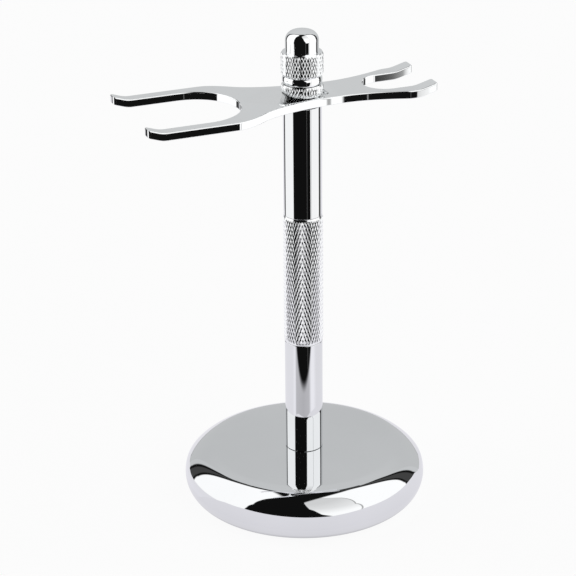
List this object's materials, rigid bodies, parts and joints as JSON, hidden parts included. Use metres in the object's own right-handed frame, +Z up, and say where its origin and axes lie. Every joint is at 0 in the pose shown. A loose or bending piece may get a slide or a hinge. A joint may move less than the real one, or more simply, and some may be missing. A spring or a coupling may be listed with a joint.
{
  "type": "razor stand",
  "caption": "Free-standing shaving stand: round weighted foot, knurled post, swivelling plate with a wide brush fork and a narrow razor fork, screw-down finial.",
  "frame": {"origin": "centre of the foot pad's flat underside, on the post's axis, in the plane that the stand rests on", "axes": "+Z up along the post; +X towards the narrow razor fork, -X towards the wide brush fork; +Y completes a right-handed frame"},
  "size_m": [0.0988, 0.08, 0.1618],
  "materials": {
    "polished_chrome": "mirror-bright chrome plating",
    "knurled_chrome": "chrome plating over a diamond knurl",
    "plain_steel": "zinc-plated steel fasteners",
    "ballast_iron": "as cast",
    "turned_brass": "turned",
    "nylon": "natural nylon",
    "foam_rubber": "dense foam rubber sheet"
  },
  "bodies": {
    "stand": {"foot_pad": "foam_rubber", "base_shell": "polished_chrome", "base_ballast": "ballast_iron", "base_screw": "plain_steel", "flat_washer": "plain_steel", "lock_washer": "plain_steel", "lower_post": "polished_chrome", "joint_stud_lower": "plain_steel", "knurled_grip": "knurled_chrome", "joint_stud_upper": "plain_steel", "upper_post": "polished_chrome", "top_stud": "plain_steel", "fork_bush": "nylon"},
    "fork": {"fork_plate": "polished_chrome"},
    "collar": {"pressure_collar": "knurled_chrome"},
    "finial": {"finial": "polished_chrome", "finial_insert": "turned_brass", "collar_clip": "plain_steel"}
  },
  "joints": [
    {"name": "fork_swivel", "type": "hinge", "parent": "stand", "child": "fork", "pos_m": [0, 0, 0.1397], "axis": [0, 0, 1], "continuous": true},
    {"name": "finial_lift", "type": "slide", "parent": "stand", "child": "collar", "axis": [0, 0, 1], "range_m": [0, 0.0056]},
    {"name": "finial_turn", "type": "hinge", "parent": "collar", "child": "finial", "pos_m": [0, 0, 0.15], "axis": [0, 0, 1], "range_deg": [0, 2520]}
  ],
  "couplings": [
    {"joint": "finial_turn", "follows": "finial_lift", "rad_per_m": 7854}
  ]
}
